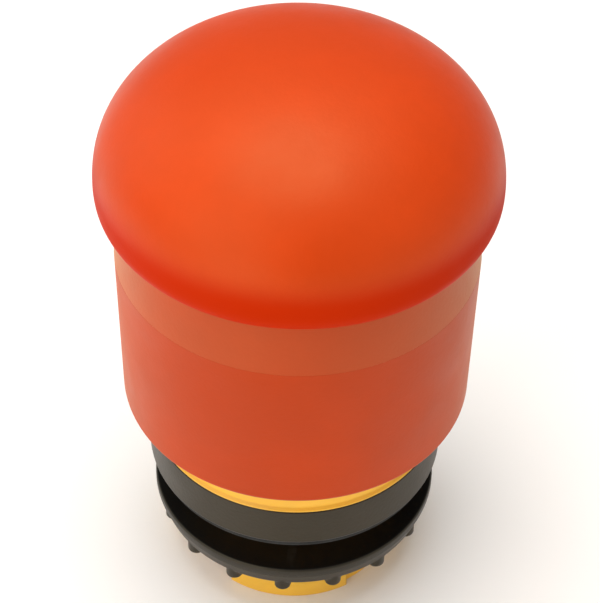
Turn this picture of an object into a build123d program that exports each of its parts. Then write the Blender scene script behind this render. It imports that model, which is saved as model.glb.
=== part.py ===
from build123d import *
import math
import os

# Emergency stop operator for a 22.5 mm panel hole, with a 38 mm pull-to-release mushroom head.
# The origin is on the axis in the plane of the panel's front face, which is the gasket's underside.
# +Z runs along the axis towards the head. Sizes are in millimetres.

# ---- clearances ----
SLIDE_GAP = 0.05
SEAT_GAP = 0.02

# ---- heights of the outside shapes ----
GASKET_TOP_Z = 0.8
BEZEL_TOP_Z = 5.15
SKIRT_BOTTOM_Z = 9.65
CREASE_Z = 27.4
NECK_Z = 33.5
EQUATOR_Z = 36.1
DOME_HEIGHT = 12.5
WASHER_TOP_Z = -4.0
WASHER_BOTTOM_Z = -5.0
NUT_EDGE_Z = -6.6
NUT_BOTTOM_Z = -7.9
REAR_END_Z = -12.6

# ---- head ----
HEAD_R = 19.0
NECK_R = 16.1
CREASE_R = 17.44
SKIRT_BOTTOM_R = 17.23
CAP_BORE_R = 15.3
DOME_WALL = 2.4
DOME_POWER = 2.2
UNDERSIDE_POWER = 2.4
CURVE_STEPS = 8
CAVITY_WALL_R = 14.3
CAVITY_STEP_Z = 31.0
CAVITY_SHOULDER_Z = 39.0
BOSS_R = 6.4
BOSS_BORE_R = 4.6
BOSS_BOTTOM_Z = 31.42
CAP_RIB_COUNT = 6
CAP_RIB_WIDTH = 1.4
CAP_RIB_BOTTOM_Z = 36.0
SKIRT_BORE_R = 15.7
LEDGE_BOTTOM_Z = 24.4
LEDGE_R = 13.0
RIM_ROUND = 0.6

# ---- carrier, stem and clip ----
CARRIER_R = 15.2
CARRIER_TOP_Z = 29.9
GUIDE_TUBE_R = 12.0
GUIDE_TUBE_BORE_R = 10.5
GUIDE_TUBE_BOTTOM_Z = 12.7
STEM_R = 4.0
STEM_FLANGE_TOP_Z = 31.4
CONE_TOP_Z = 5.0
CONE_BOTTOM_Z = -2.0
PIN_Z = -0.5
PIN_LIFT = 1.2
HEAD_TRAVEL = 5.5
TAIL_R = 2.4
TAIL_BOTTOM_Z = -6.2
CLIP_TOP_Z = CREASE_Z
CLIP_HEIGHT = 0.8
CLIP_R = 6.5
CLIP_GROOVE_R = 3.3
CLIP_MOUTH = 3.6

# ---- housing ----
COLLAR_R = 14.3
COLLAR_LIP_R = 14.6
COLLAR_LIP_EDGE_Z = 5.3
COLLAR_LIP_TOP_Z = 5.55
COLLAR_TOP_Z = 16.0
COLLAR_BORE_R = GUIDE_TUBE_R + SLIDE_GAP
WEB_TOP_Z = 6.5
WEB_BOTTOM_Z = 2.5
FLANGE_R = 13.3
SHOULDER_R = 11.3
BARREL_R = 11.1
BARREL_BORE_R = 9.2
WIPER_BOTTOM_Z = 13.6
WIPER_TOP_Z = 15.0
WIPER_GROOVE_R = 13.1
SEAL_GROOVE_R = 12.3
SEAL_MIDDLE_Z = 2.9
SEAL_R = 0.48
RECESS_START = 31.0
RECESS_SWEEP = 36.0
WINDOW_START = -75.0
WINDOW_SWEEP = 40.0
KEYWAY_WIDTH = 3.2
KEYWAY_R = 10.0
KEYWAY_TOP_Z = -1.0
KEYWAY_BOTTOM_Z = -9.5

# ---- thread ----
PITCH = 1.5
THREAD_TOP_Z = -2.2
THREAD_BOTTOM_Z = -9.2
THREAD_ROOT_R = 10.5
THREAD_TIP_R = 11.06
THREAD_RELIEF_TOP_Z = -1.8
THREAD_RELIEF_BOTTOM_Z = -9.8
RIDGE_FOOT = 0.92
RIDGE_TIP = 0.36
RIDGE_BURY = 0.1
NUT_THREAD_ROOT_R = 11.3
NUT_THREAD_TIP_R = 10.74
NUT_THREAD_MARGIN = 0.25
NUT_LEAD = 0.6

# ---- bezel, gasket, washer and nut ----
BEZEL_TOP_R = 14.65
BEZEL_BOTTOM_R = 14.9
BEZEL_BORE_R = FLANGE_R + SLIDE_GAP
GASKET_R = 14.5
WASHER_R = 14.5
WASHER_BORE_R = 11.2
TONGUE_WIDTH = 3.0
TONGUE_R = 10.1
NUT_TOP_R = 14.35
NUT_EDGE_R = 13.95
NUT_BOTTOM_R = 12.6
RIB_COUNT = 16
RIB_CIRCLE_R = 13.15
RIB_R = 0.85
RIB_TURN = -4.2
EDGE = 0.2

# ---- inner working parts ----
BUSH_R = 5.6
BUSH_TOP_Z = 9.0
BUSH_FLANGE_R = 7.0
BUSH_FLANGE_TOP_Z = 7.5
SPRING_SEAT_R = 10.3
SPRING_SEAT_TOP_Z = 7.0
SPRING_R = 8.2
SPRING_WIRE_R = 0.55
SPRING_TURNS = 6
CAGE_R = BARREL_BORE_R - SEAT_GAP
CAGE_BORE_R = 4.3
CAGE_BOTTOM_Z = -3.4
PIN_R = 1.2
PIN_BORE_R = PIN_R + SLIDE_GAP
PIN_OUTER_X = 6.6
LATCH_SPRING_R = 0.75
LATCH_SPRING_WIRE_R = 0.16
LATCH_SPRING_TURNS = 4
GUIDE_R = BARREL_BORE_R - SEAT_GAP
GUIDE_BORE_R = 6.58
GUIDE_STOP_R = 4.3
GUIDE_STOP_Z = -5.75
GUIDE_BOTTOM_Z = -10.4
PLUNGER_R = 6.5
PLUNGER_TOP_Z = -5.8
PLUNGER_BOTTOM_Z = -7.4
HUB_R = 4.0
HUB_TOP_Z = -3.0
CROSS_PIN_R = 0.7
CROSS_PIN_Z = -4.4
CROSS_PIN_LENGTH = 7.8
RETAINER_TOP_Z = -10.45
RETAINER_BOTTOM_Z = -11.15
RETAINER_R = 9.6
RETAINER_BORE_R = 7.9
RETAINER_GROOVE_R = 9.65
RETAINER_GAP = 4.0

REACH = 60.0


def turned(points):
    """A solid of revolution about Z, from a closed outline of (radius, height) points."""
    return revolve(Plane.XZ * make_face(Polyline(*points, close=True)), Axis.Z)


def tube(outer_r, inner_r, bottom_z, top_z):
    """A plain ring about Z between two heights."""
    corners = [(inner_r, bottom_z), (outer_r, bottom_z), (outer_r, top_z), (inner_r, top_z)]
    return turned(corners)


def rod(radius, bottom_z, top_z):
    """A plain round bar on Z between two heights."""
    from_below = (Align.CENTER, Align.CENTER, Align.MIN)
    return Pos(0, 0, bottom_z) * Cylinder(radius, top_z - bottom_z, align=from_below)


def block(low, high):
    """A box between two opposite corners."""
    size = [b - a for a, b in zip(low, high)]
    middle = [(a + b) / 2 for a, b in zip(low, high)]
    return Pos(*middle) * Box(*size)


def sector(radius, start, sweep, bottom_z, top_z):
    """A pie slice about Z. Its angle is counted from -Y towards +X."""
    first = math.radians(start - 90)
    last = math.radians(start + sweep - 90)
    middle = (first + last) / 2
    near, half, far = [
        (radius * math.cos(angle), radius * math.sin(angle)) for angle in (first, middle, last)
    ]
    outline = Polyline(far, (0, 0), near) + ThreePointArc(near, half, far)
    return Pos(0, 0, bottom_z) * extrude(make_face(outline), top_z - bottom_z)


def quarter_curve(centre_r, reach_r, centre_z, reach_z, power):
    """Points of a quarter superellipse, from its widest point towards the axis."""
    points = []
    for step in range(CURVE_STEPS + 1):
        angle = math.pi / 2 * step / CURVE_STEPS
        across = math.cos(angle) ** (2 / power)
        along = math.sin(angle) ** (2 / power)
        points.append((centre_r + reach_r * across, centre_z + reach_z * along))
    return points


def smooth(points, start, end):
    """A spline through the points, with its direction fixed at both ends."""
    return Spline(*points, tangents=[start, end])


def helix_coil(mean_r, wire_r, bottom_z, top_z, turns):
    """A round wire wound into a helix about Z."""
    height = top_z - bottom_z - 2 * wire_r
    path = Pos(0, 0, bottom_z + wire_r) * Helix(pitch=height / turns, height=height, radius=mean_r)
    section = Plane(origin=path @ 0, z_dir=path % 0) * Circle(wire_r)
    return sweep(section, path=path, is_frenet=True)


def thread_ridge(foot_r, tip_r, bottom_z, top_z):
    """One right-handed thread ridge, from a foot sunk in its wall to its tip radius."""
    path = Pos(0, 0, bottom_z) * Helix(pitch=PITCH, height=top_z - bottom_z, radius=foot_r)
    corners = [
        Vector(foot_r, 0, bottom_z - RIDGE_FOOT / 2),
        Vector(tip_r, 0, bottom_z - RIDGE_TIP / 2),
        Vector(tip_r, 0, bottom_z + RIDGE_TIP / 2),
        Vector(foot_r, 0, bottom_z + RIDGE_FOOT / 2),
    ]
    return sweep(make_face(Polyline(*corners, close=True)), path=path, is_frenet=True)


def make_mushroom_cap():
    """The domed shell, its rolled underside and the cone that runs down to the crease."""
    crown = quarter_curve(0, HEAD_R, EQUATOR_Z, DOME_HEIGHT, DOME_POWER)
    under = quarter_curve(NECK_R, HEAD_R - NECK_R, EQUATOR_Z, NECK_Z - EQUATOR_Z, UNDERSIDE_POWER)
    upper = smooth(crown, (0, 1), (-1, 0))
    lower = smooth(under, (0, -1), (-1, 0))
    cone = Polyline(under[-1], (CREASE_R, CREASE_Z), (0, CREASE_Z), crown[-1])
    outside = revolve(Plane.XZ * make_face(upper + lower + cone), Axis.Z)
    inner_height = EQUATOR_Z + DOME_HEIGHT - DOME_WALL - CAVITY_SHOULDER_Z
    ceiling = quarter_curve(0, CAVITY_WALL_R, CAVITY_SHOULDER_Z, inner_height, DOME_POWER)
    roof = smooth(ceiling, (0, 1), (-1, 0))
    walls = Polyline(
        ceiling[-1],
        (0, CREASE_Z),
        (CAP_BORE_R, CREASE_Z),
        (CAP_BORE_R, CAVITY_STEP_Z),
        (CAVITY_WALL_R, CAVITY_STEP_Z),
        ceiling[0],
    )
    cavity = revolve(Plane.XZ * make_face(roof + walls), Axis.Z)
    top_z = EQUATOR_Z + DOME_HEIGHT
    cavity -= tube(BOSS_R, BOSS_BORE_R, BOSS_BOTTOM_Z, top_z)
    for rib in range(CAP_RIB_COUNT):
        arm = block(
            (BOSS_R - EDGE, -CAP_RIB_WIDTH / 2, CAP_RIB_BOTTOM_Z), (HEAD_R, CAP_RIB_WIDTH / 2, top_z)
        )
        cavity -= Rot(0, 0, 360 * rib / CAP_RIB_COUNT) * arm
    return outside - cavity


def make_skirt_sleeve():
    """The straight sleeve below the crease, with an inner ledge that carries the cap."""
    outline = [
        (LEDGE_R, LEDGE_BOTTOM_Z),
        (SKIRT_BORE_R, LEDGE_BOTTOM_Z),
        (SKIRT_BORE_R, SKIRT_BOTTOM_Z),
        (SKIRT_BOTTOM_R, SKIRT_BOTTOM_Z),
        (CREASE_R, CREASE_Z),
        (LEDGE_R, CREASE_Z),
    ]
    sleeve = turned(outline)
    return fillet(sleeve.edges().group_by(Axis.Z)[0], RIM_ROUND)


def make_head_carrier():
    """The disc between cap and sleeve, and the guide tube that slides in the collar."""
    disc = tube(CARRIER_R, STEM_R + SLIDE_GAP, CREASE_Z, CARRIER_TOP_Z)
    guide = tube(GUIDE_TUBE_R, GUIDE_TUBE_BORE_R, GUIDE_TUBE_BOTTOM_Z, CREASE_Z)
    return disc + guide


def make_stem():
    """The stem from the cap's boss to the rear plunger, with the cone that spreads the pins."""
    slope = PIN_LIFT / HEAD_TRAVEL
    cone_bottom_r = STEM_R - slope * (CONE_TOP_Z - CONE_BOTTOM_Z)
    outline = [
        (0, TAIL_BOTTOM_Z),
        (TAIL_R, TAIL_BOTTOM_Z),
        (TAIL_R, CONE_BOTTOM_Z),
        (cone_bottom_r, CONE_BOTTOM_Z),
        (STEM_R, CONE_TOP_Z),
        (STEM_R, CLIP_TOP_Z - CLIP_HEIGHT),
        (CLIP_GROOVE_R, CLIP_TOP_Z - CLIP_HEIGHT),
        (CLIP_GROOVE_R, CLIP_TOP_Z),
        (STEM_R, CLIP_TOP_Z),
        (STEM_R, CARRIER_TOP_Z),
        (BOSS_R, CARRIER_TOP_Z),
        (BOSS_R, STEM_FLANGE_TOP_Z),
        (0, STEM_FLANGE_TOP_Z),
    ]
    hole = Pos(0, 0, CROSS_PIN_Z) * Rot(90, 0, 0) * Cylinder(CROSS_PIN_R + SEAT_GAP, REACH)
    return turned(outline) - hole


def make_stem_clip():
    """The open spring clip in the stem's groove, against the carrier's underside."""
    top_z = CLIP_TOP_Z - SEAT_GAP
    bottom_z = CLIP_TOP_Z - CLIP_HEIGHT + SEAT_GAP
    ring = tube(CLIP_R, CLIP_GROOVE_R + SEAT_GAP, bottom_z, top_z)
    return ring - block((0, -CLIP_MOUTH / 2, bottom_z), (CLIP_R, CLIP_MOUTH / 2, top_z))


def make_housing_barrel():
    """The fixed body: collar, seal grooves, web, flange, threaded barrel and keyed rear end."""
    outline = [
        (BARREL_BORE_R, REAR_END_Z),
        (BARREL_R, REAR_END_Z),
        (BARREL_R, THREAD_RELIEF_BOTTOM_Z),
        (THREAD_ROOT_R, THREAD_RELIEF_BOTTOM_Z),
        (THREAD_ROOT_R, THREAD_RELIEF_TOP_Z),
        (BARREL_R, THREAD_RELIEF_TOP_Z),
        (BARREL_R, 0),
        (SHOULDER_R, 0),
        (SHOULDER_R, GASKET_TOP_Z),
        (FLANGE_R, GASKET_TOP_Z),
        (FLANGE_R, BEZEL_TOP_Z),
        (COLLAR_LIP_R, BEZEL_TOP_Z),
        (COLLAR_LIP_R, COLLAR_LIP_EDGE_Z),
        (COLLAR_R, COLLAR_LIP_TOP_Z),
        (COLLAR_R, COLLAR_TOP_Z),
        (COLLAR_BORE_R, COLLAR_TOP_Z),
        (COLLAR_BORE_R, WEB_TOP_Z),
        (BUSH_R + SEAT_GAP, WEB_TOP_Z),
        (BUSH_R + SEAT_GAP, WEB_BOTTOM_Z),
        (BARREL_BORE_R, WEB_BOTTOM_Z),
    ]
    body = turned(outline)
    body -= tube(WIPER_GROOVE_R, COLLAR_BORE_R - EDGE, WIPER_BOTTOM_Z, WIPER_TOP_Z)
    seal_groove_half = SEAL_R + SLIDE_GAP
    body -= tube(
        FLANGE_R + EDGE, SEAL_GROOVE_R, SEAL_MIDDLE_Z - seal_groove_half, SEAL_MIDDLE_Z + seal_groove_half
    )
    retainer_top = RETAINER_TOP_Z + SLIDE_GAP
    retainer_bottom = RETAINER_BOTTOM_Z - SLIDE_GAP
    body -= tube(RETAINER_GROOVE_R, BARREL_BORE_R - EDGE, retainer_bottom, retainer_top)
    body += thread_ridge(THREAD_ROOT_R - RIDGE_BURY, THREAD_TIP_R, THREAD_BOTTOM_Z, THREAD_TOP_Z)
    for side in (0, 180):
        keyway = block(
            (KEYWAY_R, -KEYWAY_WIDTH / 2, KEYWAY_BOTTOM_Z), (REACH, KEYWAY_WIDTH / 2, KEYWAY_TOP_Z)
        )
        body -= Rot(0, 0, side) * keyway
    recess = sector(REACH, RECESS_START, RECESS_SWEEP, REAR_END_Z, THREAD_RELIEF_BOTTOM_Z)
    recess -= rod(THREAD_ROOT_R, REAR_END_Z, THREAD_RELIEF_BOTTOM_Z)
    window = sector(REACH, WINDOW_START, WINDOW_SWEEP, REAR_END_Z, THREAD_RELIEF_BOTTOM_Z)
    return body - recess - window


def make_front_bezel():
    """The tapered trim ring on the flange, wider at the panel."""
    outline = [
        (BEZEL_BORE_R, GASKET_TOP_Z),
        (BEZEL_BOTTOM_R - EDGE, GASKET_TOP_Z),
        (BEZEL_BOTTOM_R, GASKET_TOP_Z + EDGE),
        (BEZEL_TOP_R, BEZEL_TOP_Z),
        (BEZEL_BORE_R, BEZEL_TOP_Z),
    ]
    return turned(outline)


def make_panel_gasket():
    """The flat sealing ring between the bezel and the panel."""
    return tube(GASKET_R, SHOULDER_R + SLIDE_GAP, 0, GASKET_TOP_Z)


def make_clamp_washer():
    """The pressure ring between panel and nut, with two tongues in the keyways."""
    outline = [
        (WASHER_BORE_R, WASHER_BOTTOM_Z),
        (WASHER_R, WASHER_BOTTOM_Z),
        (WASHER_R, WASHER_TOP_Z - EDGE),
        (WASHER_R - EDGE, WASHER_TOP_Z),
        (WASHER_BORE_R, WASHER_TOP_Z),
    ]
    washer = turned(outline)
    for side in (0, 180):
        low = (TONGUE_R, -TONGUE_WIDTH / 2, WASHER_BOTTOM_Z)
        high = (WASHER_BORE_R + EDGE, TONGUE_WIDTH / 2, WASHER_TOP_Z)
        tongue = block(low, high)
        washer += Rot(0, 0, side) * tongue
    return washer


def make_ring_nut():
    """The clamping nut with rounded finger ribs, its thread half a pitch from the barrel's."""
    outline = [
        (NUT_THREAD_ROOT_R, NUT_BOTTOM_Z),
        (NUT_BOTTOM_R, NUT_BOTTOM_Z),
        (NUT_EDGE_R, NUT_EDGE_Z),
        (NUT_TOP_R, WASHER_BOTTOM_Z),
        (NUT_THREAD_ROOT_R, WASHER_BOTTOM_Z),
    ]
    nut = turned(outline)
    for rib in range(RIB_COUNT):
        angle = math.radians(RIB_TURN - 90 + 360 * rib / RIB_COUNT)
        place = Pos(RIB_CIRCLE_R * math.cos(angle), RIB_CIRCLE_R * math.sin(angle), 0)
        nut += place * rod(RIB_R, NUT_BOTTOM_Z, WASHER_BOTTOM_Z)
    first = NUT_BOTTOM_Z + NUT_LEAD + NUT_THREAD_MARGIN + RIDGE_FOOT / 2
    turns = math.ceil((first - THREAD_BOTTOM_Z) / PITCH - 0.5)
    start = THREAD_BOTTOM_Z + (turns + 0.5) * PITCH
    lead = (start - first) / PITCH
    length = WASHER_BOTTOM_Z - NUT_THREAD_MARGIN - RIDGE_FOOT / 2 - first
    ridge = thread_ridge(NUT_THREAD_ROOT_R + RIDGE_BURY, NUT_THREAD_TIP_R, first, first + length)
    return nut + Rot(0, 0, -360 * lead) * ridge


def make_return_spring():
    """The spring round the stem that lifts the head."""
    return helix_coil(SPRING_R, SPRING_WIRE_R, SPRING_SEAT_TOP_Z, CREASE_Z, SPRING_TURNS)


def make_stem_bush():
    """The flanged bush in the web that guides the stem."""
    bore = STEM_R + SLIDE_GAP
    return tube(BUSH_R, bore, WEB_BOTTOM_Z, BUSH_TOP_Z) + tube(
        BUSH_FLANGE_R, bore, WEB_TOP_Z, BUSH_FLANGE_TOP_Z
    )


def pin_tip_centre():
    """Where the round tip of a latch pin has its centre, so that it rides on the stem's cone."""
    slope = PIN_LIFT / HEAD_TRAVEL
    cone_r = STEM_R - slope * (CONE_TOP_Z - PIN_Z)
    return cone_r + (PIN_R + SEAT_GAP) * math.sqrt(1 + slope * slope)


def make_latch_cage():
    """The ring inside the barrel that holds the two latch pins and their springs."""
    ring = tube(CAGE_R, CAGE_BORE_R, CAGE_BOTTOM_Z, WEB_BOTTOM_Z)
    return ring - Pos(0, 0, PIN_Z) * Rot(0, 90, 0) * Cylinder(PIN_BORE_R, REACH)


def make_latch_pin():
    """A latch pin on +X with its round tip towards the stem."""
    tip_x = pin_tip_centre()
    shank = Pos(tip_x, 0, PIN_Z) * Rot(0, 90, 0) * Cylinder(
        PIN_R, PIN_OUTER_X - tip_x, align=(Align.CENTER, Align.CENTER, Align.MIN)
    )
    return shank + Pos(tip_x, 0, PIN_Z) * Sphere(PIN_R)


def make_latch_spring():
    """The small spring on +X between a latch pin and the barrel's wall."""
    low = PIN_OUTER_X + SEAT_GAP
    high = BARREL_BORE_R - SEAT_GAP
    coil = helix_coil(LATCH_SPRING_R, LATCH_SPRING_WIRE_R, low, high, LATCH_SPRING_TURNS)
    return Pos(0, 0, PIN_Z) * Rot(0, 90, 0) * coil


def make_rear_plunger():
    """The plunger on the stem's tail that pushes the contact blocks."""
    outline = [
        (0, PLUNGER_BOTTOM_Z),
        (PLUNGER_R, PLUNGER_BOTTOM_Z),
        (PLUNGER_R, PLUNGER_TOP_Z),
        (HUB_R, PLUNGER_TOP_Z),
        (HUB_R, HUB_TOP_Z),
        (TAIL_R + SEAT_GAP, HUB_TOP_Z),
        (TAIL_R + SEAT_GAP, TAIL_BOTTOM_Z - SEAT_GAP),
        (0, TAIL_BOTTOM_Z - SEAT_GAP),
    ]
    hole = Pos(0, 0, CROSS_PIN_Z) * Rot(90, 0, 0) * Cylinder(CROSS_PIN_R + SEAT_GAP, REACH)
    return turned(outline) - hole


def make_cross_pin():
    """The pin through the plunger's hub and the stem's tail."""
    return Pos(0, 0, CROSS_PIN_Z) * Rot(90, 0, 0) * Cylinder(CROSS_PIN_R, CROSS_PIN_LENGTH)


def make_rear_guide():
    """The insert in the barrel that guides the plunger and stops it at the top."""
    outline = [
        (GUIDE_STOP_R, GUIDE_STOP_Z),
        (GUIDE_BORE_R, GUIDE_STOP_Z),
        (GUIDE_BORE_R, GUIDE_BOTTOM_Z),
        (GUIDE_R, GUIDE_BOTTOM_Z),
        (GUIDE_R, CAGE_BOTTOM_Z),
        (GUIDE_STOP_R, CAGE_BOTTOM_Z),
    ]
    return turned(outline)


def make_retaining_ring():
    """The open snap ring that holds the insert in the barrel."""
    ring = tube(RETAINER_R, RETAINER_BORE_R, RETAINER_BOTTOM_Z, RETAINER_TOP_Z)
    gap = block(
        (-RETAINER_GAP / 2, 0, RETAINER_BOTTOM_Z), (RETAINER_GAP / 2, RETAINER_R + EDGE, RETAINER_TOP_Z)
    )
    return ring - gap


def make_wiper_seal():
    """The soft ring in the collar that wipes the guide tube."""
    bottom_z = WIPER_BOTTOM_Z + SEAT_GAP
    top_z = WIPER_TOP_Z - SEAT_GAP
    return tube(WIPER_GROOVE_R - SEAT_GAP, GUIDE_TUBE_R + SEAT_GAP, bottom_z, top_z)


def make_bezel_seal():
    """The round-section ring between flange and bezel."""
    centre_r = BEZEL_BORE_R - SEAT_GAP - SEAL_R
    return Pos(0, 0, SEAL_MIDDLE_Z) * Torus(centre_r, SEAL_R)


def make_spring_seat():
    """The flat steel washer under the return spring."""
    return tube(SPRING_SEAT_R, BUSH_FLANGE_R + SLIDE_GAP, WEB_TOP_Z, SPRING_SEAT_TOP_Z)


def main():
    half_turn = Rot(0, 0, 180)
    nodes = {
        "mushroom_cap": make_mushroom_cap(),
        "skirt_sleeve": make_skirt_sleeve(),
        "head_carrier": make_head_carrier(),
        "stem": make_stem(),
        "stem_clip": make_stem_clip(),
        "return_spring": make_return_spring(),
        "spring_seat": make_spring_seat(),
        "stem_bush": make_stem_bush(),
        "wiper_seal": make_wiper_seal(),
        "housing_barrel": make_housing_barrel(),
        "bezel_seal": make_bezel_seal(),
        "front_bezel": make_front_bezel(),
        "panel_gasket": make_panel_gasket(),
        "clamp_washer": make_clamp_washer(),
        "ring_nut": make_ring_nut(),
        "latch_cage": make_latch_cage(),
        "latch_pin_right": make_latch_pin(),
        "latch_pin_left": half_turn * make_latch_pin(),
        "latch_spring_right": make_latch_spring(),
        "latch_spring_left": half_turn * make_latch_spring(),
        "rear_plunger": make_rear_plunger(),
        "cross_pin": make_cross_pin(),
        "rear_guide": make_rear_guide(),
        "retaining_ring": make_retaining_ring(),
    }
    os.makedirs("parts", exist_ok=True)
    for name, solid in nodes.items():
        export_step(solid, f"parts/{name}.step")


main()
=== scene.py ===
import math

import bpy
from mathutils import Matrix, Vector


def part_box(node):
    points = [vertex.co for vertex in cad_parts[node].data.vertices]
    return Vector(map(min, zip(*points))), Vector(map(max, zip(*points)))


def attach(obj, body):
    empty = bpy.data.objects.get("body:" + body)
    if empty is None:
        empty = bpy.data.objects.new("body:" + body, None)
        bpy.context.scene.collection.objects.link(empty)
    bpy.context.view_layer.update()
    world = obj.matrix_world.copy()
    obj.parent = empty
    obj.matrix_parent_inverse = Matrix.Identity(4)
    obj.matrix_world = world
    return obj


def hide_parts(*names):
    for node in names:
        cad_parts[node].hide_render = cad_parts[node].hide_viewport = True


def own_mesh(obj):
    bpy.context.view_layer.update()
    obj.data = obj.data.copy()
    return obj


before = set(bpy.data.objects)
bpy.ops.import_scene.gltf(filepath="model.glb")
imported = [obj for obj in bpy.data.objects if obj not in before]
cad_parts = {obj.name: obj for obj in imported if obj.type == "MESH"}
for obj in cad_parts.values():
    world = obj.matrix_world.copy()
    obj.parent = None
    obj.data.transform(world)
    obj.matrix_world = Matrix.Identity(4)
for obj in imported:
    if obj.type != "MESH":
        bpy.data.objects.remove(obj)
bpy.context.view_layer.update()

MM = 0.001
TAU = 2 * math.pi

# ---- the heights and radii that every piece is built from, read from the CAD nodes ----
cap_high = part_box("mushroom_cap")[1]
skirt_low, skirt_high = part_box("skirt_sleeve")
housing_low, housing_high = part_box("housing_barrel")
bezel_low, bezel_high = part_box("front_bezel")
gasket_low, gasket_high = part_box("panel_gasket")
washer_low, washer_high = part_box("clamp_washer")
nut_low, nut_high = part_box("ring_nut")
plunger_low, plunger_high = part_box("rear_plunger")
guide_low, guide_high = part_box("rear_guide")
spring_low, spring_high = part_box("return_spring")

HEAD_R = cap_high.x
CREASE_R = skirt_high.x
CREASE_Z = skirt_high.z
SKIRT_BOTTOM_Z = skirt_low.z
COLLAR_TOP_Z = housing_high.z
REAR_END_Z = housing_low.z
BEZEL_TOP_Z = bezel_high.z
BEZEL_BOTTOM_Z = bezel_low.z
BEZEL_BOTTOM_R = bezel_high.x

# ---- sizes that the boxes don't say, in metres ----
EQUATOR_Z = 36.1 * MM
NECK_Z = 33.5 * MM
NECK_R = 16.1 * MM
DOME_POWER = 2.2
UNDERSIDE_POWER = 2.4
CAP_WALL = 2.4 * MM
CAP_HOLLOW_R = HEAD_R - 4.7 * MM
CAP_HOLLOW_SHOULDER_Z = 39.0 * MM
CAP_LEDGE_Z = 31.0 * MM
CAP_BORE_R = 15.3 * MM
SKIRT_BOTTOM_R = 17.23 * MM
SKIRT_BORE_R = 15.7 * MM
LEDGE_R = 13.0 * MM
LEDGE_BOTTOM_Z = 24.4 * MM
COLLAR_R = 14.3 * MM
COLLAR_LIP_R = housing_high.x
COLLAR_LIP_EDGE_Z = 5.3 * MM
COLLAR_LIP_TOP_Z = 5.55 * MM
COLLAR_BORE_R = 12.05 * MM
WIPER_POCKET_R = 13.1 * MM
WIPER_POCKET_TOP_Z = 15.0 * MM
WIPER_POCKET_BOTTOM_Z = 13.6 * MM
WEB_TOP_Z = 6.5 * MM
WEB_BOTTOM_Z = 2.5 * MM
WEB_BORE_R = 5.62 * MM
FLANGE_R = 13.3 * MM
SHOULDER_R = 11.3 * MM
BARREL_R = 11.1 * MM
BARREL_BORE_R = 9.2 * MM
RING_GROOVE_R = 9.65 * MM
RING_GROOVE_TOP_Z = -10.4 * MM
RING_GROOVE_BOTTOM_Z = -11.2 * MM
BEZEL_TOP_R = 14.65 * MM
BEZEL_BORE_R = 13.35 * MM
SEAM = 0.004 * MM

# ---- what moves, in metres ----
LATCH_Z = -0.5 * MM
LATCH_SPRING_WALL_X = 9.17 * MM
LATCH_SPRING_PIN_X = 6.63 * MM


# ---- mesh helpers ----
def make_object(name, vertices, faces, material):
    """A mesh object from vertices and faces, shaded smooth."""
    mesh = bpy.data.meshes.new(name)
    mesh.from_pydata(vertices, [], faces)
    mesh.validate()
    mesh.update()
    for face in mesh.polygons:
        face.use_smooth = True
    piece = bpy.data.objects.new(name, mesh)
    bpy.context.scene.collection.objects.link(piece)
    piece.data.materials.append(material)
    return piece


def keep_flats_flat(piece):
    """Weights the shading by face size, so that wide faces stay flat and only the rounds shade round."""
    weighted = piece.modifiers.new("flats", "WEIGHTED_NORMAL")
    weighted.keep_sharp = True
    weighted.weight = 100


def rounded(corners):
    """An outline of (radius, height) points from corners (radius, height, rounding)."""
    outline = []
    count = len(corners)
    for number, (r, z, rounding) in enumerate(corners):
        here = Vector((r, z))
        before = Vector(corners[number - 1][:2]) - here
        after = Vector(corners[(number + 1) % count][:2]) - here
        if rounding <= 0:
            outline.append((r, z))
            continue
        half = before.angle(after) / 2
        back = rounding / math.tan(half)
        first = here + before.normalized() * back
        last = here + after.normalized() * back
        bisector = (before.normalized() + after.normalized()).normalized()
        centre = here + bisector * (rounding / math.sin(half))
        steps = 4 if rounding < 0.3 * MM else 7
        start = first - centre
        turn = start.angle_signed(last - centre)
        for step in range(steps + 1):
            angle = -turn * step / steps
            spoke = Vector(
                (
                    start.x * math.cos(angle) - start.y * math.sin(angle),
                    start.x * math.sin(angle) + start.y * math.cos(angle),
                )
            )
            outline.append(tuple(centre + spoke))
    return outline


def swept(name, angles, outline_at, material, closed=True):
    """A mesh of the outline at each angle about Z. An open outline starts and ends on the axis."""
    rings = [outline_at(angle) for angle in angles]
    rows = len(rings[0])
    columns = len(angles)
    vertices, faces = [], []
    for angle, ring in zip(angles, rings):
        c, s = math.cos(angle), math.sin(angle)
        vertices += [(r * c, r * s, z) for r, z in ring]
    spans = rows if closed else rows - 1
    for column in range(columns):
        here = column * rows
        there = (column + 1) % columns * rows
        for row in range(spans):
            above = (row + 1) % rows
            faces.append((here + row, there + row, there + above, here + above))
    if not closed:
        vertices, faces = merge_axis(vertices, faces, rows, columns)
    return make_object(name, vertices, faces, material)


def merge_axis(vertices, faces, rows, columns):
    """Joins the first points of all columns into one, and the last ones too."""
    swap = {column * rows: 0 for column in range(columns)}
    swap.update({column * rows + rows - 1: rows - 1 for column in range(columns)})
    joined = []
    for face in faces:
        corners = []
        for corner in face:
            corner = swap.get(corner, corner)
            if corner not in corners:
                corners.append(corner)
        joined.append(corners)
    used = sorted({corner for face in joined for corner in face})
    number = {old: new for new, old in enumerate(used)}
    return [vertices[old] for old in used], [[number[c] for c in face] for face in joined]


def even_angles(count):
    return [TAU * step / count for step in range(count)]


def turned(name, outline, material, count=256, closed=True):
    """A solid of revolution from one outline."""
    piece = swept(name, even_angles(count), lambda angle: outline, material, closed)
    keep_flats_flat(piece)
    return piece


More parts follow.
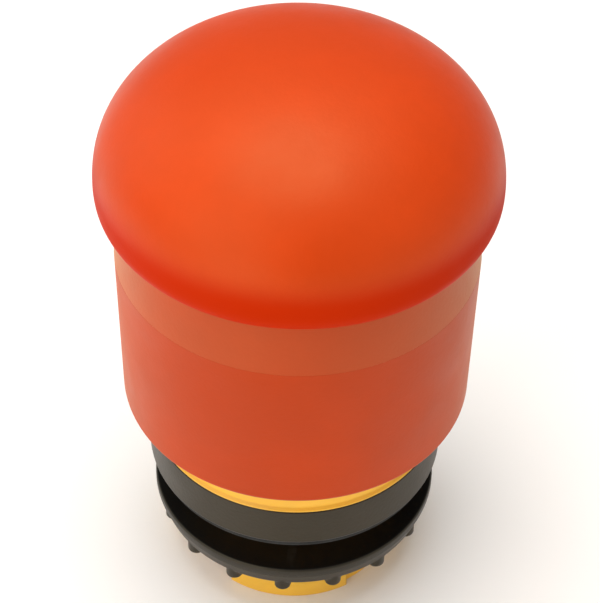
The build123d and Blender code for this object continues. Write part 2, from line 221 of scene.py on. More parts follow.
def quarter_curve(centre_r, reach_r, centre_z, reach_z, power, steps):
    """Points of a quarter superellipse, from its widest point towards the axis."""
    points = []
    for step in range(steps + 1):
        angle = math.pi / 2 * step / steps
        across = max(0.0, math.cos(angle)) ** (2 / power)
        along = math.sin(angle) ** (2 / power)
        points.append((centre_r + reach_r * across, centre_z + reach_z * along))
    return points


# ---- material helpers ----
class Nodes:
    """Builds a node tree with short calls."""

    def __init__(self, name, material=None):
        self.material = material or bpy.data.materials.new(name)
        self.material.use_nodes = True
        self.tree = self.material.node_tree
        self.surface = self.tree.nodes["Principled BSDF"]
        self.coordinates = self.add("ShaderNodeTexCoord").outputs["Object"]

    def add(self, kind, **settings):
        made = self.tree.nodes.new(kind)
        for key, value in settings.items():
            setattr(made, key, value)
        return made

    def feed(self, socket, value):
        """Links an output to a socket, or sets the socket's value."""
        if isinstance(value, bpy.types.NodeSocket):
            self.tree.links.new(value, socket)
        else:
            socket.default_value = value

    def noise(self, scale, detail=2.0, rough=0.5, stretch=(1, 1, 1), warp=0.0):
        """Noise at so many cells per metre, stretched along each axis."""
        place = self.add("ShaderNodeMapping")
        self.feed(place.inputs["Vector"], self.coordinates)
        place.inputs["Scale"].default_value = stretch
        made = self.add("ShaderNodeTexNoise")
        self.feed(made.inputs["Vector"], place.outputs["Vector"])
        made.inputs["Scale"].default_value = scale
        made.inputs["Detail"].default_value = detail
        made.inputs["Roughness"].default_value = rough
        made.inputs["Distortion"].default_value = warp
        return made.outputs["Fac"]

    def span(self, value, low, high, to_low=0.0, to_high=1.0, smooth=True):
        """Maps a value's range to another range, and clamps it."""
        made = self.add("ShaderNodeMapRange")
        made.interpolation_type = "SMOOTHSTEP" if smooth else "LINEAR"
        limits = {"From Min": low, "From Max": high, "To Min": to_low, "To Max": to_high}
        for key, number in limits.items():
            made.inputs[key].default_value = number
        self.feed(made.inputs["Value"], value)
        return made.outputs["Result"]

    def height(self, low, high):
        """0 below the lower height and 1 above the upper one, smooth between."""
        split = self.add("ShaderNodeSeparateXYZ")
        self.feed(split.inputs["Vector"], self.coordinates)
        return self.span(split.outputs["Z"], low, high)

    def math(self, operation, first, second):
        made = self.add("ShaderNodeMath", operation=operation)
        self.feed(made.inputs[0], first)
        self.feed(made.inputs[1], second)
        return made.outputs["Value"]

    def mix(self, share, first, second):
        """A blend of two colours."""
        made = self.add("ShaderNodeMix", data_type="RGBA")
        self.feed(made.inputs["Factor"], share)
        self.feed(made.inputs[6], first)
        self.feed(made.inputs[7], second)
        return made.outputs[2]

    def bump(self, height, depth, strength=1.0, normal=None):
        """A bump of so many metres."""
        made = self.add("ShaderNodeBump")
        made.inputs["Strength"].default_value = strength
        made.inputs["Distance"].default_value = depth
        self.feed(made.inputs["Height"], height)
        if normal is not None:
            self.feed(made.inputs["Normal"], normal)
        return made.outputs["Normal"]

    def edges(self, low, high):
        """How sharp a convex edge is, from the geometry."""
        geometry = self.add("ShaderNodeNewGeometry")
        return self.span(geometry.outputs["Pointiness"], low, high)


def colour(r, g, b):
    return (r, g, b, 1.0)


def shade(base, factor):
    """A colour made darker or lighter."""
    return colour(*[channel * factor for channel in base[:3]])


def moulded_plastic(name, base, rough, depth=0.000012, wear=0.35, scuff=0.06, tint=None):
    """Injection-moulded plastic: drifting colour, fine spark-eroded grain, rubbed edges and faint scuffs."""
    n = Nodes(name)
    drift = n.span(n.noise(55, 3), 0.35, 0.65)
    tone = n.mix(drift, shade(base, 0.94), shade(base, 1.05))
    speckle = n.span(n.noise(900, 3, 0.6), 0.3, 0.7)
    tone = n.mix(n.math("MULTIPLY", speckle, 0.12), tone, shade(base, 0.82))
    scuffs = n.span(n.noise(900, 6, 0.65, (1.0, 1.0, 0.3), 0.8), 0.64, 0.78)
    pale = colour(*[min(1.0, 0.75 * c + 0.10) for c in base[:3]])
    tone = n.mix(n.math("MULTIPLY", scuffs, scuff), tone, pale)
    rubbed = n.math("MULTIPLY", n.edges(0.53, 0.62), n.span(n.noise(300, 4), 0.35, 0.6))
    tone = n.mix(n.math("MULTIPLY", rubbed, wear), tone, pale)
    n.feed(n.surface.inputs["Base Color"], tone)
    smear = n.span(n.noise(120, 5, 0.6), 0.3, 0.7, rough - 0.05, rough + 0.06)
    n.feed(n.surface.inputs["Roughness"], n.math("ADD", smear, n.math("MULTIPLY", scuffs, 0.08)))
    n.surface.inputs["Specular IOR Level"].default_value = 0.5
    n.surface.inputs["Specular Tint"].default_value = tint or colour(1, 1, 1)
    fine = n.bump(n.noise(2600, 2, 0.6), depth)
    wavy = n.bump(n.noise(70, 2), 0.00006, 0.35, fine)
    n.feed(n.surface.inputs["Normal"], wavy)
    return n.material


def rubber(name, base):
    """Matt rubber with a fine bloom."""
    n = Nodes(name)
    bloom = n.span(n.noise(700, 5, 0.7), 0.45, 0.75)
    dusty = colour(0.06, 0.058, 0.055)
    n.feed(n.surface.inputs["Base Color"], n.mix(n.math("MULTIPLY", bloom, 0.25), base, dusty))
    n.feed(n.surface.inputs["Roughness"], n.span(n.noise(260, 4), 0.3, 0.7, 0.62, 0.82))
    n.surface.inputs["Specular IOR Level"].default_value = 0.35
    n.feed(n.surface.inputs["Normal"], n.bump(n.noise(2200, 3, 0.7), 0.00002))
    return n.material


def steel(name, base, rough, stretch=(1, 1, 12)):
    """Drawn or rolled steel with fine lines along one way and a little staining."""
    n = Nodes(name)
    lines = n.noise(1500, 3, 0.6, stretch)
    stain = n.span(n.noise(240, 5, 0.6), 0.5, 0.75)
    n.feed(n.surface.inputs["Base Color"], n.mix(n.math("MULTIPLY", stain, 0.35), base, shade(base, 0.6)))
    n.surface.inputs["Metallic"].default_value = 1.0
    n.feed(n.surface.inputs["Roughness"], n.span(lines, 0.3, 0.7, rough - 0.08, rough + 0.1))
    n.feed(n.surface.inputs["Normal"], n.bump(lines, 0.000008))
    return n.material


RED = colour(0.585, 0.042, 0.001)
YELLOW = colour(0.97, 0.53, 0.040)
ORANGE = colour(0.80, 0.30, 0.035)
BLACK = colour(0.012, 0.009, 0.006)
# painted shade: a darker, neutral black for the washer, whose top lies in the shade of the gap under the
# bezel
GAP_SHADE_BLACK = colour(0.006, 0.006, 0.006)
DARK = colour(0.05, 0.05, 0.055)
GREY = colour(0.33, 0.34, 0.35)
NATURAL = colour(0.80, 0.78, 0.70)
# painted shade: the deeper, darker red mixed into the cap's rim under the crown
RIM_SHADE_RED = colour(0.54, 0.022, 0.0005)
WARM = colour(1.0, 0.90, 0.42)
BROWNISH = colour(1.0, 0.86, 0.60)
CAP_POLISH = (33.6 * MM, 34.6 * MM)
CROWN_GLOSS = (36.4 * MM, 40.8 * MM)
OUT_OF_REACH = (1.0, 2.0)


def red_plastic(name, polish_heights, matt, sheen, dull):
    """Red plastic with a matt sheen, smoother above the given heights and glossy on the crown, with painted
    shade: the rim between the given heights and the crown is mixed towards a deeper, darker red.
    """
    material = moulded_plastic(name, RED, 0.46, wear=0.0, scuff=0.0, tint=WARM)
    n = Nodes(name, material)
    polished = n.height(*polish_heights)
    n.surface.inputs["Sheen Tint"].default_value = colour(1.0, 0.84, 0.48)
    n.surface.inputs["Sheen Roughness"].default_value = 0.5
    n.feed(n.surface.inputs["Sheen Weight"], n.span(polished, 0, 1, sheen, 0.0))
    crown = n.height(*CROWN_GLOSS)
    gloss = n.span(crown, 0, 1, 0.02, 0.36)
    grain = n.span(polished, 0, 1, matt, 0.0)
    shine = n.math("MAXIMUM", n.math("MULTIPLY", polished, gloss), grain)
    n.feed(n.surface.inputs["Specular IOR Level"], shine)
    tone = n.surface.inputs["Base Color"].links[0].from_socket
    # painted shade: below the crown's gloss the rim is mixed towards a deeper, darker red; the matt part
    # below the given heights is also made darker by dull
    painted_rim_shade = n.math("MULTIPLY", polished, n.span(crown, 0, 1, 0.9, 0.0))
    rim_shade_and_matt_tone = n.add("ShaderNodeHueSaturation")
    n.feed(rim_shade_and_matt_tone.inputs["Color"], n.mix(painted_rim_shade, tone, RIM_SHADE_RED))
    n.feed(rim_shade_and_matt_tone.inputs["Value"], n.span(polished, 0, 1, dull, 1.0))
    n.feed(n.surface.inputs["Base Color"], rim_shade_and_matt_tone.outputs["Color"])
    return material


def matt_black_plastic(name, base):
    """Black plastic with a coarser grain."""
    return moulded_plastic(name, base, 0.42, depth=0.00002, wear=0.15, tint=BROWNISH)


def dull_top(material, top_z):
    """Takes most of the shine off the face at the top."""
    n = Nodes(material.name, material)
    face = n.height(top_z - 0.08 * MM, top_z - 0.02 * MM)
    n.feed(n.surface.inputs["Specular IOR Level"], n.span(face, 0, 1, 0.5, 0.08))


red_cap = red_plastic("red_cap_plastic", CAP_POLISH, matt=0.42, sheen=0.62, dull=0.88)
red_skirt = red_plastic("red_sleeve_plastic", OUT_OF_REACH, matt=0.16, sheen=0.16, dull=0.87)
yellow_plastic = moulded_plastic("yellow_body_plastic", YELLOW, 0.42)
orange_plastic = moulded_plastic("orange_insert_plastic", ORANGE, 0.45)
black_plastic = matt_black_plastic("black_ring_plastic", BLACK)
# painted shade: the washer gets a darker black than the other black parts, for the shade in the gap between
# the gasket and the nut
washer_plastic = matt_black_plastic("black_washer_plastic", GAP_SHADE_BLACK)
dull_top(washer_plastic, washer_high.z)
dark_plastic = moulded_plastic("dark_stem_plastic", DARK, 0.40)
grey_plastic = moulded_plastic("grey_carrier_plastic", GREY, 0.45)
natural_plastic = moulded_plastic("natural_plunger_plastic", NATURAL, 0.38)
black_rubber = rubber("black_seal_rubber", colour(0.014, 0.014, 0.014))
spring_steel = steel("spring_wire_steel", colour(0.56, 0.56, 0.57), 0.34)
pin_steel = steel("ground_pin_steel", colour(0.62, 0.62, 0.63), 0.24)


# ---- pieces ----
def make_cap():
    """The mushroom cap as a closed shell: crown, rolled underside, cone, and the hollow inside."""
    crown = quarter_curve(0, HEAD_R, EQUATOR_Z, cap_high.z - EQUATOR_Z, DOME_POWER, 96)
    under = quarter_curve(NECK_R, HEAD_R - NECK_R, EQUATOR_Z, NECK_Z - EQUATOR_Z, UNDERSIDE_POWER, 28)
    hollow_rise = cap_high.z - CAP_WALL - CAP_HOLLOW_SHOULDER_Z
    inner_top = quarter_curve(0, CAP_HOLLOW_R, CAP_HOLLOW_SHOULDER_Z, hollow_rise, DOME_POWER, 32)
    foot = rounded(
        [
            (CAP_HOLLOW_R, CAP_LEDGE_Z, 0),
            (CAP_BORE_R, CAP_LEDGE_Z, 0),
            (CAP_BORE_R, CREASE_Z, 0.2 * MM),
            (CREASE_R, CREASE_Z, 0.015 * MM),
            (NECK_R, NECK_Z, 0),
        ]
    )[:-1]
    flare_r, flare_z = 0.12 * MM, 0.5 * MM
    neck = [(NECK_R + flare_r * below, NECK_Z - flare_z * below) for below in (1.0, 0.7, 0.4, 0.15)]
    outline = inner_top[::-1] + foot + neck + under[::-1] + crown[1:]
    return turned("mushroom_cap_shell", outline, red_cap, 360, closed=False)


def make_skirt():
    """The sleeve below the crease, with its rounded lower rim and the ledge inside."""
    outline = rounded(
        [
            (SKIRT_BORE_R, LEDGE_BOTTOM_Z, 0.3 * MM),
            (SKIRT_BORE_R, SKIRT_BOTTOM_Z, 0.55 * MM),
            (SKIRT_BOTTOM_R, SKIRT_BOTTOM_Z, 0.6 * MM),
            (CREASE_R, CREASE_Z - SEAM, 0.015 * MM),
            (LEDGE_R, CREASE_Z - SEAM, 0.1 * MM),
            (LEDGE_R, LEDGE_BOTTOM_Z, 0.3 * MM),
        ]
    )
    return turned("skirt_sleeve_shell", outline, red_skirt, 360)


# ---- the yellow body: thread, keyways and the keyed rear end ----
PITCH = 1.5 * MM
THREAD_TOP_Z = -2.2 * MM
THREAD_BOTTOM_Z = -9.2 * MM
THREAD_ROOT_R = 10.5 * MM
THREAD_TIP_R = 11.06 * MM
RELIEF_TOP_Z = -1.8 * MM
RELIEF_BOTTOM_Z = -9.8 * MM
RIDGE_FOOT = 0.92 * MM
RIDGE_TIP = 0.36 * MM
THREAD_STEP = 0.08 * MM
KEYWAY_R = 10.0 * MM
KEYWAY_HALF = math.asin(1.6 / 10.5)
KEYWAY_TOP_Z = -1.0 * MM
KEYWAY_BOTTOM_Z = -9.5 * MM
RECESS_TURN = math.radians(-41)
RECESS_HALF = math.radians(18)
WINDOW_TURN = math.radians(-145)
WINDOW_HALF = math.radians(20)
KNEE_Z = -9.2 * MM
END_ROUND = 0.22 * MM
HALF_STEP = math.radians(0.14)
NUT_ROOT_R = 11.3 * MM
NUT_TIP_R = 10.74 * MM


def ridge_height(angle, z, start_z):
    """How far up a thread's ridge the point is, from 0 at its foot to 1 at its tip."""
    along = (z - start_z) / PITCH - angle / TAU
    off = abs(along - round(along)) * PITCH
    return min(1.0, max(0.0, (RIDGE_FOOT / 2 - off) / (RIDGE_FOOT / 2 - RIDGE_TIP / 2)))


def turned_away(angle, centre):
    """The angle between two directions, without sign."""
    return abs((angle - centre + math.pi) % TAU - math.pi)


def angles_with_edges(count, edges):
    """Even angles, with a close pair of angles at each edge in place of the even ones nearby."""
    near = [a for a in even_angles(count) if all(turned_away(a, e) > 2 * HALF_STEP for e in edges)]
    pairs = [(edge + side * HALF_STEP) % TAU for edge in edges for side in (-1, 1)]
    return sorted(near + pairs)


def both_sides(centre, half):
    """The edge angles of two opposite cut-outs."""
    return [centre + side + way * half for side in (0, math.pi) for way in (-1, 1)]


def in_keyway(angle):
    return min(turned_away(angle, 0), turned_away(angle, math.pi)) < KEYWAY_HALF


def in_window(angle):
    return turned_away(angle, WINDOW_TURN) < WINDOW_HALF


def end_radius(angle):
    """The outer radius of the rear end, less in the recess and above the window."""
    cut = in_window(angle) or turned_away(angle, RECESS_TURN) < RECESS_HALF
    return THREAD_ROOT_R if cut else BARREL_R


def end_height(angle):
    """Where the wall ends, higher at the window."""
    return RELIEF_BOTTOM_Z if in_window(angle) else REAR_END_Z


def barrel_radius(angle, z):
    """The barrel's outer radius below the flange."""
    if KEYWAY_BOTTOM_Z < z < KEYWAY_TOP_Z and in_keyway(angle):
        return KEYWAY_R
    if z > RELIEF_TOP_Z:
        return BARREL_R
    if z < RELIEF_BOTTOM_Z:
        return end_radius(angle)
    fade = min(1.0, max(0.0, (THREAD_TOP_Z + RIDGE_TIP - z) / RIDGE_TIP))
    fade *= min(1.0, max(0.0, (z - THREAD_BOTTOM_Z + RIDGE_TIP) / RIDGE_TIP))
    return THREAD_ROOT_R + (THREAD_TIP_R - THREAD_ROOT_R) * fade * ridge_height(angle, z, THREAD_BOTTOM_Z)


def barrel_heights():
    """Heights of the outer rows, with a close pair at each step."""
    pair = 0.03 * MM
    steps = [RELIEF_BOTTOM_Z, RELIEF_TOP_Z, KEYWAY_BOTTOM_Z, KEYWAY_TOP_Z]
    count = round((RELIEF_TOP_Z - RELIEF_BOTTOM_Z) / THREAD_STEP)
    even = [RELIEF_BOTTOM_Z + (RELIEF_TOP_Z - RELIEF_BOTTOM_Z) * row / count for row in range(count + 1)]
    middle_of_rear_end, middle_of_plain_top = -11 * MM, -0.8 * MM
    even += [middle_of_rear_end, middle_of_plain_top]
    apart = [z for z in even if all(abs(z - step) > 1.3 * pair for step in steps)]
    return sorted(apart + [step + side * pair for step in steps for side in (-1, 1)])


def make_body():
    """The yellow body, from its keyed rear end to the collar under the sleeve."""
    upper = rounded(
        [
            (BARREL_R, -0.3 * MM, 0),
            (BARREL_R, 0, 0.05 * MM),
            (SHOULDER_R, 0, 0.05 * MM),
            (SHOULDER_R, BEZEL_BOTTOM_Z, 0.1 * MM),
            (FLANGE_R, BEZEL_BOTTOM_Z, 0.15 * MM),
            (FLANGE_R, BEZEL_TOP_Z, 0.05 * MM),
            (COLLAR_LIP_R, BEZEL_TOP_Z, 0.05 * MM),
            (COLLAR_LIP_R, COLLAR_LIP_EDGE_Z, 0.05 * MM),
            (COLLAR_R, COLLAR_LIP_TOP_Z, 0.2 * MM),
            (COLLAR_R, COLLAR_TOP_Z, 0.4 * MM),
            (COLLAR_BORE_R, COLLAR_TOP_Z, 0.3 * MM),
            (COLLAR_BORE_R, WIPER_POCKET_TOP_Z, 0),
            (WIPER_POCKET_R, WIPER_POCKET_TOP_Z, 0.1 * MM),
            (WIPER_POCKET_R, WIPER_POCKET_BOTTOM_Z, 0.1 * MM),
            (COLLAR_BORE_R, WIPER_POCKET_BOTTOM_Z, 0),
            (COLLAR_BORE_R, WEB_TOP_Z, 0.2 * MM),
            (WEB_BORE_R, WEB_TOP_Z, 0.1 * MM),
            (WEB_BORE_R, WEB_BOTTOM_Z, 0.1 * MM),
            (BARREL_BORE_R, WEB_BOTTOM_Z, 0.2 * MM),
            (BARREL_BORE_R, RING_GROOVE_TOP_Z, 0),
            (RING_GROOVE_R, RING_GROOVE_TOP_Z, 0.05 * MM),
            (RING_GROOVE_R, RING_GROOVE_BOTTOM_Z, 0.05 * MM),
            (BARREL_BORE_R, RING_GROOVE_BOTTOM_Z, 0),
        ]
    )
    heights = barrel_heights()

    def outline_at(angle):
        low = end_height(angle)
        share = (KNEE_Z - END_ROUND - low) / (KNEE_Z - END_ROUND - REAR_END_Z)
        foot = []
        for step in range(5):
            turn = math.pi / 2 * step / 4
            foot.append(
                (
                    end_radius(angle) - END_ROUND * (1 - math.sin(turn)),
                    low + END_ROUND * (1 - math.cos(turn)),
                )
            )
        bore = (BARREL_BORE_R + END_ROUND, low)
        wall = [(barrel_radius(angle, z), z) for z in heights]
        wall += upper + [(BARREL_BORE_R, REAR_END_Z + END_ROUND)]
        return [bore] + foot + [(r, z if z > KNEE_Z else KNEE_Z - (KNEE_Z - z) * share) for r, z in wall]

    edges = both_sides(0, KEYWAY_HALF)
    edges += [RECESS_TURN - RECESS_HALF, RECESS_TURN + RECESS_HALF]
    edges += [WINDOW_TURN - WINDOW_HALF, WINDOW_TURN + WINDOW_HALF]
    piece = swept("yellow_body", angles_with_edges(360, edges), outline_at, yellow_plastic)
    keep_flats_flat(piece)
    return piece


def make_bezel():
    """The tapered black trim ring on the flange."""
    outline = rounded(
        [
            (BEZEL_BORE_R, BEZEL_TOP_Z - SEAM, 0.05 * MM),
            (BEZEL_BORE_R, BEZEL_BOTTOM_Z, 0.1 * MM),
            (BEZEL_BOTTOM_R, BEZEL_BOTTOM_Z, 0.25 * MM),
            (BEZEL_TOP_R, BEZEL_TOP_Z - SEAM, 0.18 * MM),
        ]
    )
    return turned("bezel_ring", outline, black_plastic, 320)


def make_gasket():
    """The flat black gasket."""
    outline = rounded(
        [
            (SHOULDER_R + 0.05 * MM, gasket_high.z, 0.1 * MM),
            (SHOULDER_R + 0.05 * MM, gasket_low.z, 0.1 * MM),
            (gasket_high.x, gasket_low.z, 0.06 * MM),
            (gasket_high.x, gasket_high.z, 0.06 * MM),
        ]
    )
    return turned("gasket_ring", outline, black_rubber, 256)


def make_washer():
    """The pressure ring with two tongues in the body's keyways."""
    bore = 11.2 * MM
    tongue_r = 10.12 * MM
    half = math.asin(1.5 / 10.6)
    rim = rounded(
        [
            (bore, washer_low.z, 0),
            (washer_high.x, washer_low.z, 0.05 * MM),
            (washer_high.x, washer_high.z, 0.3 * MM),
            (bore, washer_high.z, 0),
        ]
    )

    def outline_at(angle):
        tongue = min(turned_away(angle, 0), turned_away(angle, math.pi)) < half
        inner = tongue_r if tongue else bore
        lead, edge = 0.12 * MM, 0.02 * MM
        return (
            [(inner, washer_low.z + lead), (inner + lead, washer_low.z)]
            + rim[1:-1]
            + [(inner + edge, washer_high.z), (inner, washer_high.z - edge)]
        )

    edges = both_sides(0, half)
    piece = swept("pressure_ring", angles_with_edges(256, edges), outline_at, washer_plastic)
    keep_flats_flat(piece)
    return piece


RIB_COUNT = 16
RIB_CIRCLE_R = 13.15 * MM
RIB_R = 0.85 * MM
RIB_TURN = math.radians(-94.2)
RIB_ROUND = 0.25 * MM
NUT_TOP_R = 14.35 * MM
NUT_EDGE_R = 13.95 * MM
NUT_EDGE_Z = -6.6 * MM
NUT_BOTTOM_R = 12.6 * MM
NUT_LEAD = 0.6 * MM
NUT_MARGIN = 0.25 * MM


def rib_radius(angle):
    """How far out a finger rib reaches at the angle, and nothing between the ribs."""
    step = TAU / RIB_COUNT
    off = (angle - RIB_TURN + step / 2) % step - step / 2
    sideways = RIB_CIRCLE_R * math.sin(off)
    if abs(sideways) >= RIB_R:
        return 0
    return RIB_CIRCLE_R * math.cos(off) + math.sqrt(RIB_R**2 - sideways**2)


def nut_radius(z):
    """The nut's outer radius between its ribs, which narrows from the washer down."""
    if z < NUT_EDGE_Z:
        share = (z - nut_low.z) / (NUT_EDGE_Z - nut_low.z)
        return NUT_BOTTOM_R + (NUT_EDGE_R - NUT_BOTTOM_R) * share
    share = (z - NUT_EDGE_Z) / (nut_high.z - NUT_EDGE_Z)
    return NUT_EDGE_R + (NUT_TOP_R - NUT_EDGE_R) * share


def make_nut():
    """The ring nut with its rounded finger ribs and inner thread."""
    first = nut_low.z + NUT_LEAD + NUT_MARGIN + RIDGE_FOOT / 2
    last = nut_high.z - NUT_MARGIN - RIDGE_FOOT / 2
    rows = 32
    inner_z = [nut_high.z - (nut_high.z - nut_low.z) * (row + 0.5) / rows for row in range(rows)]
    bends = [math.pi / 2 * step / 6 for step in range(7)]
    rim = [(RIB_ROUND * (1 - math.sin(a)), nut_low.z + RIB_ROUND * (1 - math.cos(a))) for a in bends]
    pair = 0.04 * MM
    between = (-7.3 * MM, -6.9 * MM, NUT_EDGE_Z - pair, NUT_EDGE_Z + pair, -6.4 * MM, -6.1 * MM, -5.5 * MM)
    rim += [(0, z) for z in between + (nut_high.z - pair,)]

    def outline_at(angle):
        reach = rib_radius(angle)
        outer = [(max(nut_radius(z), reach - inset), z) for inset, z in rim]
        inner = []
        for z in inner_z:
            inside = first - RIDGE_FOOT / 2 < z < last + RIDGE_FOOT / 2
            height = ridge_height(angle, z, THREAD_BOTTOM_Z + PITCH / 2) if inside else 0
            inner.append((NUT_ROOT_R - (NUT_ROOT_R - NUT_TIP_R) * height, z))
        top = [(outer[-1][0] - pair, nut_high.z), (NUT_ROOT_R + 0.1 * MM, nut_high.z)]
        bottom = [(NUT_ROOT_R + 0.1 * MM, nut_low.z), (NUT_BOTTOM_R - 0.2 * MM, nut_low.z)]
        return bottom + outer + top + inner

    piece = swept("finger_nut", even_angles(720), outline_at, black_plastic)
    keep_flats_flat(piece)
    return piece


def make_plunger():
    """The rear plunger with its hub and a shallow dish in its face."""
    top_z = -5.8 * MM
    hub_r = 4.0 * MM
    bore_r = 2.42 * MM
    blind_z = -6.22 * MM
    dish = 4.4 * MM
    outline = rounded(
        [
            (0, plunger_low.z + 0.35 * MM, 0),
            (dish, plunger_low.z + 0.35 * MM, 0.2 * MM),
            (dish + 0.3 * MM, plunger_low.z, 0.12 * MM),
            (plunger_high.x, plunger_low.z, 0.3 * MM),
            (plunger_high.x, top_z, 0.2 * MM),
            (hub_r, top_z, 0.3 * MM),
            (hub_r, plunger_high.z, 0.25 * MM),
            (bore_r, plunger_high.z, 0.15 * MM),
            (bore_r, blind_z, 0),
            (0, blind_z, 0),
        ]
    )
    return turned("contact_plunger", outline, natural_plastic, 192, closed=False)


def make_guide():
    """The orange insert that guides the plunger."""
    stop_r = 4.3 * MM
    bore_r = 6.58 * MM
    stop_z = -5.75 * MM
    outline = rounded(
        [
            (stop_r, stop_z, 0.1 * MM),
            (bore_r, stop_z, 0.1 * MM),
            (bore_r, guide_low.z, 0.35 * MM),
            (guide_high.x, guide_low.z, 0.15 * MM),
            (guide_high.x, guide_high.z, 0.15 * MM),
            (stop_r, guide_high.z, 0.15 * MM),
        ]
    )
    return turned("plunger_guide", outline, orange_plastic, 192)


def make_coil(name, mean_r, wire_r, low, high, turns, to_frame, material):
    """A compression spring with its end turns closed. to_frame places a point of the spring about Z."""
    steps = 40
    total = turns * steps
    around = 14
    closed_turns = 0.9
    closed_rise = 2 * wire_r * closed_turns
    free_rise = high - low - 2 * wire_r - 2 * closed_rise
    vertices, faces = [], []
    for step in range(total + 1):
        turn = step / steps
        rest = turns - turn
        if turn < closed_turns:
            rise = closed_rise * turn / closed_turns
        elif rest < closed_turns:
            rise = closed_rise + free_rise + closed_rise * (1 - rest / closed_turns)
        else:
            share = (turn - closed_turns) / (turns - 2 * closed_turns)
            rise = closed_rise + free_rise * share
        angle = TAU * turn
        for spoke in range(around):
            bend = TAU * spoke / around
            r = mean_r + wire_r * math.cos(bend)
            z = low + wire_r + rise + wire_r * math.sin(bend)
            vertices.append(to_frame(r * math.cos(angle), r * math.sin(angle), z))
    for step in range(total):
        for spoke in range(around):
            beside = (spoke + 1) % around
            a, b = step * around, (step + 1) * around
            faces.append((a + spoke, b + spoke, b + beside, a + beside))
    faces.append(tuple(range(around)))
    faces.append(tuple(total * around + spoke for spoke in reversed(range(around))))
    return make_object(name, vertices, faces, material)


def make_return_coil():
    """The return spring, built at one length between the heights of its node; the real one shortens as the
    head goes down.
    """
    mean_r, wire_r = 8.2 * MM, 0.55 * MM
    low, high = spring_low.z, spring_high.z
    return make_coil("return_coil", mean_r, wire_r, low, high, 7, lambda x, y, z: (x, y, z), spring_steel)


def make_latch_coil(name, side):
    """A latch spring between its pin and the barrel's wall, lying along X."""
    mean_r, wire_r = 0.75 * MM, 0.16 * MM
    low, high = LATCH_SPRING_PIN_X, LATCH_SPRING_WALL_X

    def lying(x, y, z):
        return (side * z, side * y, LATCH_Z + x)

    return make_coil(name, mean_r, wire_r, low, high, 5, lying, spring_steel)


for piece, body, nodes, slot in (
    (make_cap(), "head", ["mushroom_cap"], "red_plastic"),
    (make_skirt(), "head", ["skirt_sleeve"], "red_plastic"),
    (make_body(), "housing", ["housing_barrel"], "yellow_plastic"),
    (make_bezel(), "housing", ["front_bezel"], "black_plastic"),
    (make_gasket(), "housing", ["panel_gasket"], "black_rubber"),
    (make_washer(), "washer", ["clamp_washer"], "black_plastic"),
    (make_nut(), "nut", ["ring_nut"], "black_plastic"),
    (make_plunger(), "head", ["rear_plunger"], "natural_plastic"),
    (make_guide(), "housing", ["rear_guide"], "orange_plastic"),
    (make_return_coil(), "housing", ["return_spring"], "spring_steel"),
    (make_latch_coil("latch_coil_right", 1), "housing", ["latch_spring_right"], "spring_steel"),
    (make_latch_coil("latch_coil_left", -1), "housing", ["latch_spring_left"], "spring_steel"),
):
    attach(piece, body)
    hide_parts(*nodes)

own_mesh(bpy.data.objects["return_coil"])
for side, name in ((1, "right"), (-1, "left")):
    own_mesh(bpy.data.objects["latch_coil_" + name])

CAD_MATERIALS = {
    "head_carrier": grey_plastic,
    "stem": dark_plastic,
    "stem_clip": spring_steel,
    "spring_seat": spring_steel,
    "stem_bush": natural_plastic,
    "wiper_seal": black_rubber,
    "bezel_seal": black_rubber,
    "latch_cage": grey_plastic,
    "latch_pin_right": pin_steel,
    "latch_pin_left": pin_steel,
    "cross_pin": pin_steel,
    "retaining_ring": spring_steel,
}
for node, material in CAD_MATERIALS.items():
    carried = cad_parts[node]
    carried.data.materials.clear()
    carried.data.materials.append(material)


# ---- floor, light and camera ----
SOFT_WHITE = (1.0, 0.98, 0.95)


def make_floor():
    """A plain pale floor under the rear end."""
    reach = 1.5
    n = Nodes("pale_floor")
    cloud = n.span(n.noise(14, 3), 0.3, 0.7)
    tone = n.mix(cloud, colour(0.945, 0.935, 0.915), colour(0.97, 0.96, 0.94))
    n.feed(n.surface.inputs["Base Color"], tone)
    n.surface.inputs["Roughness"].default_value = 0.55
    n.feed(n.surface.inputs["Normal"], n.bump(n.noise(900, 4), 0.00002))
    corners = [(-reach, -reach), (reach, -reach), (reach, reach), (-reach, reach)]
    floor = make_object("floor", [(x, y, REAR_END_Z) for x, y in corners], [(0, 1, 2, 3)], n.material)


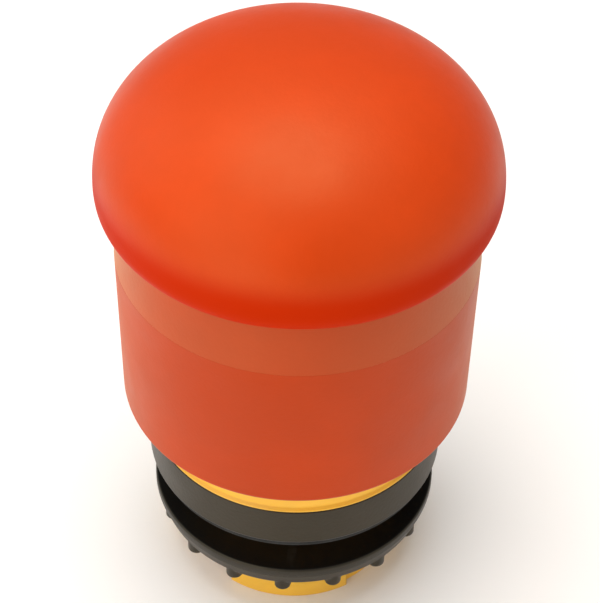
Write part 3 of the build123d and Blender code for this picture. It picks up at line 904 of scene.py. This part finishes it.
def aim(thing, place, target, roll=0.0):
    """Puts a lamp or the camera at a place, looking at the target."""
    place, target = Vector(place), Vector(target)
    thing.location = place
    turn = (target - place).to_track_quat("-Z", "Y").to_matrix().to_4x4()
    thing.rotation_euler = turn.to_euler()
    thing.rotation_euler.rotate_axis("Z", roll)


def make_lamp(name, place, target_z, size, power, tint):
    """A round soft lamp that looks at a height on the axis."""
    lamp = bpy.data.lights.new(name, "AREA")
    lamp.shape = "DISK"
    lamp.size = size
    lamp.energy = power
    lamp.color = tint
    holder = bpy.data.objects.new(name, lamp)
    bpy.context.scene.collection.objects.link(holder)
    aim(holder, place, (0, 0, target_z))


def make_camera():
    """The camera looks down at 44.5 degrees from straight in front."""
    elevation = math.radians(44.5)
    distance = 0.210
    look_z = 19.6 * MM
    place = (0, -distance * math.cos(elevation), look_z + distance * math.sin(elevation))
    camera = bpy.data.cameras.new("camera")
    camera.lens = 128.7
    camera.sensor_width = 36
    camera.clip_start = 0.005
    camera.shift_x = 0.0051
    holder = bpy.data.objects.new("camera", camera)
    bpy.context.scene.collection.objects.link(holder)
    aim(holder, place, (0, 0, look_z), math.radians(1.0))
    bpy.context.scene.camera = holder


make_floor()
for lamp_row in (
    ("overhead", (-0.02, 0.05, 0.60), 0.02, 0.50, 3.0, SOFT_WHITE),
    ("front_left", (-0.37, -0.34, 0.35), 0.02, 0.60, 1.4, SOFT_WHITE),
    ("left_back", (-0.48, 0.20, 0.32), 0.02, 0.50, 0.8, (1.0, 0.99, 0.97)),
    ("low_front_left", (-0.24, -0.48, 0.06), 0.04, 0.16, 0.30, (1.0, 0.97, 0.92)),
    ("front_right", (0.45, -0.30, 0.30), 0.02, 0.60, 0.35, SOFT_WHITE),
):
    make_lamp(*lamp_row)
make_camera()

world = bpy.data.worlds.new("studio")
world.use_nodes = True
world.node_tree.nodes["Background"].inputs["Color"].default_value = colour(*SOFT_WHITE)
world.node_tree.nodes["Background"].inputs["Strength"].default_value = 0.35
bpy.context.scene.world = world
bpy.context.scene.view_settings.view_transform = "Standard"
